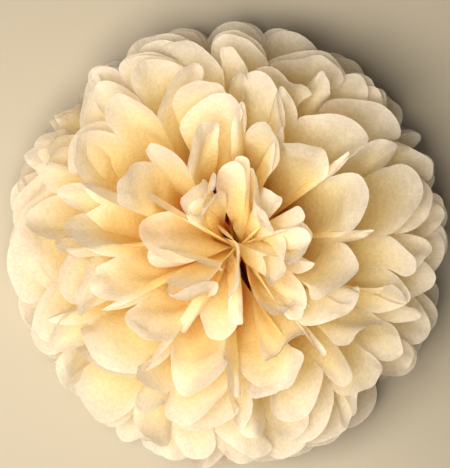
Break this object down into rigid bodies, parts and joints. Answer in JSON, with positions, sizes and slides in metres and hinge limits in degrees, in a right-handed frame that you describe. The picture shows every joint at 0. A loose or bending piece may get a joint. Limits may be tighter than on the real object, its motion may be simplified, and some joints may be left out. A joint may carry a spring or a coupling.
{
  "type": "tissue paper pom pom",
  "caption": "Large flower-shaped pom pom of folded ivory tissue sheets, fanned out petal by petal round a thin wire tie, lying on its back",
  "frame": {"origin": "the middle of the pom pom's box, on the surface it lies on", "axes": "+Z runs along the flower axis from the flattened back to the bud; the folded strip runs along X through the tie, so the two half fans of each sheet spread round +X and -X and meet along Y"},
  "size_m": [0.3676, 0.3678, 0.2095],
  "materials": {
    "tissue": "matt, thin and translucent, ivory",
    "wire": "dull bare wire"
  },
  "bodies": {
    "root": {"sheet_01": "tissue", "sheet_02": "tissue", "sheet_03": "tissue", "sheet_04": "tissue", "sheet_05": "tissue", "sheet_06": "tissue", "sheet_07": "tissue", "sheet_08": "tissue", "sheet_09": "tissue", "sheet_10": "tissue", "tie_wire": "wire"}
  },
  "joints": []
}
